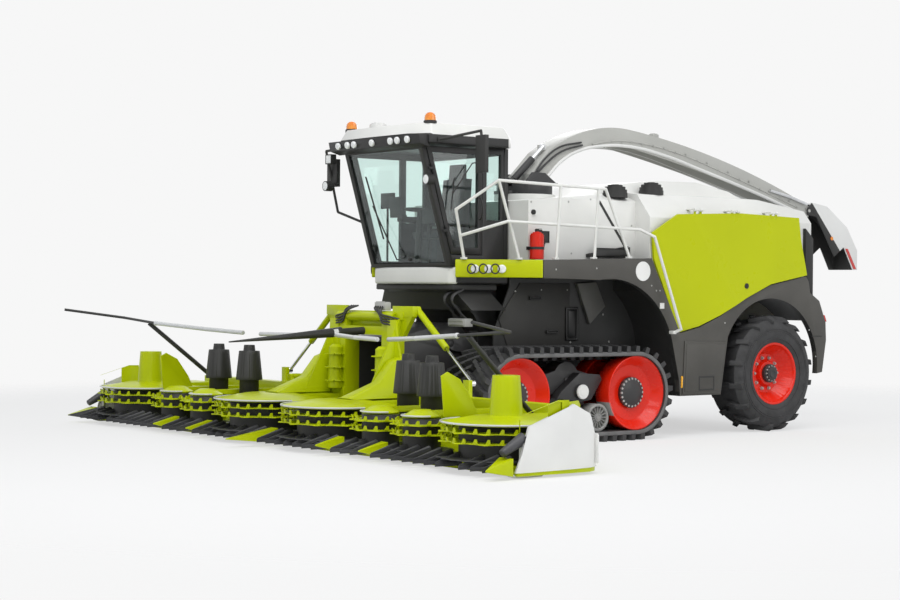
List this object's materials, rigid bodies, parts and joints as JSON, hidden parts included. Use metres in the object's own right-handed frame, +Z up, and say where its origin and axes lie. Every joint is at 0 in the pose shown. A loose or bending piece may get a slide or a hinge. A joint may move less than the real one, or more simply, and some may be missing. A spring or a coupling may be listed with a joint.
{
  "type": "forage harvester",
  "caption": "Tracked forage harvester with a wide folding rotary maize header, cab, long curved discharge spout and steered rear wheels.",
  "frame": {"origin": "centre of the bounding box, on the ground", "axes": "+X forward towards the header, +Y to the machine's left, +Z up"},
  "size_m": [10.28, 9, 3.9011],
  "materials": {
    "body_green": "gloss lime green paint",
    "body_white": "gloss off-white paint",
    "spout_grey": "satin light grey paint",
    "header_green": "gloss lime green paint",
    "fender_grey": "dark grey moulded plastic",
    "trim_dark": "black trim",
    "frame_grey": "satin dark grey paint",
    "engine_grey": "painted casting",
    "wheel_red": "gloss signal red paint",
    "track_rubber": "matt black rubber",
    "tyre_rubber": "matt black tyre rubber",
    "window_glass": "clear green-tinted glass",
    "seat_cloth": "dark woven cloth",
    "lamp_lens": "clear lamp lenses",
    "rod_chrome": "polished chrome",
    "drum_black": "black moulded hoods"
  },
  "bodies": {
    "harvester": {"chassis_frame": "frame_grey", "rear_axle": "frame_grey", "engine": "engine_grey", "body_shell": "body_white", "rear_grille": "trim_dark", "handrails": "body_white", "fenders": "fender_grey", "light_panels": "body_green", "cab_floor": "body_white", "cab_front": "trim_dark", "cab_roof": "body_white", "cab_back": "trim_dark", "cab_sides": "trim_dark", "cab_glass": "window_glass", "seat": "seat_cloth", "cab_controls": "trim_dark", "mirrors": "trim_dark", "lamps": "lamp_lens", "track_belt_left": "track_rubber", "track_belt_right": "track_rubber", "track_wheels": "wheel_red", "bogies": "frame_grey"},
    "cab_door": {"cab_door": "trim_dark", "door_glass": "window_glass"},
    "side_panel_left": {"side_panel_left": "body_green"},
    "side_panel_right": {"side_panel_right": "body_green"},
    "turret": {"spout_turret": "frame_grey"},
    "spout": {"spout": "spout_grey"},
    "spout_lift_barrel": {"spout_lift_barrel": "frame_grey"},
    "spout_lift_rod": {"spout_lift_rod": "rod_chrome"},
    "spout_deflector": {"spout_deflector": "spout_grey"},
    "feeder": {"feeder_house": "frame_grey", "header_centre": "header_green"},
    "lift_barrels": {"lift_barrels": "frame_grey"},
    "lift_rods": {"lift_rods": "rod_chrome"},
    "knuckle_left": {"knuckle_left": "frame_grey"},
    "rear_wheel_left": {"rear_rim_left": "wheel_red", "rear_tyre_left": "tyre_rubber"},
    "knuckle_right": {"knuckle_right": "frame_grey"},
    "rear_wheel_right": {"rear_rim_right": "wheel_red", "rear_tyre_right": "tyre_rubber"},
    "wing_left": {"header_wing_left": "header_green"},
    "fold_barrel_left": {"fold_barrel_left": "frame_grey"},
    "fold_rod_left": {"fold_rod_left": "rod_chrome"},
    "wing_right": {"header_wing_right": "header_green"},
    "fold_barrel_right": {"fold_barrel_right": "frame_grey"},
    "fold_rod_right": {"fold_rod_right": "rod_chrome"},
    "disc_big_inner_left": {"disc_big_inner_left": "header_green"},
    "disc_small_inner_left": {"disc_small_inner_left": "header_green"},
    "disc_small_outer_left": {"disc_small_outer_left": "header_green"},
    "disc_big_outer_left": {"disc_big_outer_left": "header_green"},
    "drum_inner_left": {"drum_inner_left": "drum_black"},
    "drum_outer_left": {"drum_outer_left": "drum_black"},
    "disc_big_inner_right": {"disc_big_inner_right": "header_green"},
    "disc_small_inner_right": {"disc_small_inner_right": "header_green"},
    "disc_small_outer_right": {"disc_small_outer_right": "header_green"},
    "disc_big_outer_right": {"disc_big_outer_right": "header_green"},
    "drum_inner_right": {"drum_inner_right": "drum_black"},
    "drum_outer_right": {"drum_outer_right": "drum_black"}
  },
  "joints": [
    {"name": "cab_door_hinge", "type": "hinge", "parent": "harvester", "child": "cab_door", "pos_m": [2.55, 0.812, 2.06], "axis": [-0.2836, 0, -0.9589], "range_deg": [0, 50]},
    {"name": "side_panel_left_hinge", "type": "hinge", "parent": "harvester", "child": "side_panel_left", "pos_m": [-1.29, 1.518, 2.806], "axis": [1, 0, 0], "range_deg": [0, 75]},
    {"name": "side_panel_right_hinge", "type": "hinge", "parent": "harvester", "child": "side_panel_right", "pos_m": [-1.29, -1.518, 2.806], "axis": [-1, 0, 0], "range_deg": [0, 75]},
    {"name": "steer_left", "type": "hinge", "parent": "harvester", "child": "knuckle_left", "pos_m": [-2.063, 1.05, 0.745], "axis": [0, 0, 1], "range_deg": [-30, 30]},
    {"name": "steer_right", "type": "hinge", "parent": "harvester", "child": "knuckle_right", "pos_m": [-2.063, -1.05, 0.745], "axis": [0, 0, 1], "range_deg": [-30, 30]},
    {"name": "rear_wheel_left_spin", "type": "hinge", "parent": "knuckle_left", "child": "rear_wheel_left", "pos_m": [-2.063, 1.27, 0.745], "axis": [0, 1, 0], "continuous": true},
    {"name": "rear_wheel_right_spin", "type": "hinge", "parent": "knuckle_right", "child": "rear_wheel_right", "pos_m": [-2.063, -1.27, 0.745], "axis": [0, 1, 0], "continuous": true},
    {"name": "spout_turn", "type": "hinge", "parent": "harvester", "child": "turret", "pos_m": [0.86, 0, 2.99], "axis": [0, 0, 1], "range_deg": [-105, 105]},
    {"name": "spout_lift", "type": "hinge", "parent": "turret", "child": "spout", "pos_m": [0.87, 0, 3.19], "axis": [0, 1, 0], "range_deg": [0, 33]},
    {"name": "spout_lift_barrel_turn", "type": "hinge", "parent": "turret", "child": "spout_lift_barrel", "pos_m": [1.135, 0.095, 3.15], "axis": [0, 1, 0], "range_deg": [0, 22.96]},
    {"name": "spout_lift_stroke", "type": "slide", "parent": "spout_lift_barrel", "child": "spout_lift_rod", "axis": [0.7331, 0, -0.6802], "range_m": [0, 0.11]},
    {"name": "spout_flap", "type": "hinge", "parent": "spout", "child": "spout_deflector", "pos_m": [-4.12, 0, 2.94], "axis": [0, -1, 0], "range_deg": [-15, 50]},
    {"name": "feeder_lift", "type": "hinge", "parent": "harvester", "child": "feeder", "pos_m": [2.36, 0, 1.15], "axis": [0, -1, 0], "range_deg": [0, 20]},
    {"name": "lift_barrels_turn", "type": "hinge", "parent": "harvester", "child": "lift_barrels", "pos_m": [1.91, 0, 0.52], "axis": [0, -1, 0], "range_deg": [0, 12.52]},
    {"name": "lift_rods_stroke", "type": "slide", "parent": "lift_barrels", "child": "lift_rods", "axis": [0.9969, 0, -0.079], "range_m": [0, 0.215]},
    {"name": "wing_left_fold", "type": "hinge", "parent": "feeder", "child": "wing_left", "pos_m": [3.21, 1.5, 0.7], "axis": [-1, 0, 0], "range_deg": [-90, 0]},
    {"name": "fold_barrel_left_turn", "type": "hinge", "parent": "feeder", "child": "fold_barrel_left", "pos_m": [3.115, 0.85, 1.56], "axis": [-1, 0, 0], "range_deg": [-0.01, 0.648]},
    {"name": "fold_rod_left_stroke", "type": "slide", "parent": "fold_barrel_left", "child": "fold_rod_left", "axis": [0, 0.7954, -0.606], "range_m": [-0.5724, 0]},
    {"name": "wing_right_fold", "type": "hinge", "parent": "feeder", "child": "wing_right", "pos_m": [3.21, -1.5, 0.7], "axis": [1, 0, 0], "range_deg": [-90, 0]},
    {"name": "fold_barrel_right_turn", "type": "hinge", "parent": "feeder", "child": "fold_barrel_right", "pos_m": [3.115, -0.85, 1.56], "axis": [1, 0, 0], "range_deg": [-0.01, 0.648]},
    {"name": "fold_rod_right_stroke", "type": "slide", "parent": "fold_barrel_right", "child": "fold_rod_right", "axis": [0, -0.7954, -0.606], "range_m": [-0.5724, 0]},
    {"name": "rotor_turn", "type": "hinge", "parent": "feeder", "child": "disc_big_inner_left", "pos_m": [4.116, 0.75, 0.3], "axis": [0, 0, 1], "continuous": true},
    {"name": "disc_small_inner_left_turn", "type": "hinge", "parent": "wing_left", "child": "disc_small_inner_left", "pos_m": [4.33, 1.875, 0.3], "axis": [0, 0, 1], "continuous": true},
    {"name": "disc_small_outer_left_turn", "type": "hinge", "parent": "wing_left", "child": "disc_small_outer_left", "pos_m": [4.33, 2.625, 0.3], "axis": [0, 0, 1], "continuous": true},
    {"name": "disc_big_outer_left_turn", "type": "hinge", "parent": "wing_left", "child": "disc_big_outer_left", "pos_m": [4.116, 3.75, 0.3], "axis": [0, 0, 1], "continuous": true},
    {"name": "drum_inner_left_turn", "type": "hinge", "parent": "wing_left", "child": "drum_inner_left", "pos_m": [3.84, 1.69, 0.3], "axis": [0, 0, 1], "continuous": true},
    {"name": "drum_outer_left_turn", "type": "hinge", "parent": "wing_left", "child": "drum_outer_left", "pos_m": [3.94, 2.265, 0.3], "axis": [0, 0, 1], "continuous": true},
    {"name": "disc_big_inner_right_turn", "type": "hinge", "parent": "feeder", "child": "disc_big_inner_right", "pos_m": [4.116, -0.75, 0.3], "axis": [0, 0, 1], "continuous": true},
    {"name": "disc_small_inner_right_turn", "type": "hinge", "parent": "wing_right", "child": "disc_small_inner_right", "pos_m": [4.33, -1.875, 0.3], "axis": [0, 0, 1], "continuous": true},
    {"name": "disc_small_outer_right_turn", "type": "hinge", "parent": "wing_right", "child": "disc_small_outer_right", "pos_m": [4.33, -2.625, 0.3], "axis": [0, 0, 1], "continuous": true},
    {"name": "disc_big_outer_right_turn", "type": "hinge", "parent": "wing_right", "child": "disc_big_outer_right", "pos_m": [4.116, -3.75, 0.3], "axis": [0, 0, 1], "continuous": true},
    {"name": "drum_inner_right_turn", "type": "hinge", "parent": "wing_right", "child": "drum_inner_right", "pos_m": [3.84, -1.69, 0.3], "axis": [0, 0, 1], "continuous": true},
    {"name": "drum_outer_right_turn", "type": "hinge", "parent": "wing_right", "child": "drum_outer_right", "pos_m": [3.94, -2.265, 0.3], "axis": [0, 0, 1], "continuous": true}
  ],
  "couplings": [
    {"joint": "steer_right", "follows": "steer_left", "ratio": 1},
    {"joint": "spout_lift_barrel_turn", "follows": "spout_lift", "ratio": 0.69571},
    {"joint": "spout_lift_stroke", "follows": "spout_lift", "m_per_rad": 0.19006},
    {"joint": "lift_barrels_turn", "follows": "feeder_lift", "ratio": 0.62541},
    {"joint": "lift_rods_stroke", "follows": "feeder_lift", "m_per_rad": 0.6144},
    {"joint": "fold_barrel_left_turn", "follows": "wing_left_fold", "ratio": -0.00709},
    {"joint": "fold_rod_left_stroke", "follows": "wing_left_fold", "m_per_rad": 0.36409},
    {"joint": "fold_barrel_right_turn", "follows": "wing_right_fold", "ratio": -0.00709},
    {"joint": "fold_rod_right_stroke", "follows": "wing_right_fold", "m_per_rad": 0.36409},
    {"joint": "disc_small_inner_left_turn", "follows": "rotor_turn", "ratio": 2},
    {"joint": "disc_small_outer_left_turn", "follows": "rotor_turn", "ratio": -2},
    {"joint": "disc_big_outer_left_turn", "follows": "rotor_turn", "ratio": -1},
    {"joint": "drum_inner_left_turn", "follows": "rotor_turn", "ratio": -3},
    {"joint": "drum_outer_left_turn", "follows": "rotor_turn", "ratio": 3},
    {"joint": "disc_big_inner_right_turn", "follows": "rotor_turn", "ratio": -1},
    {"joint": "disc_small_inner_right_turn", "follows": "rotor_turn", "ratio": -2},
    {"joint": "disc_small_outer_right_turn", "follows": "rotor_turn", "ratio": 2},
    {"joint": "disc_big_outer_right_turn", "follows": "rotor_turn", "ratio": 1},
    {"joint": "drum_inner_right_turn", "follows": "rotor_turn", "ratio": 3},
    {"joint": "drum_outer_right_turn", "follows": "rotor_turn", "ratio": -3}
  ]
}
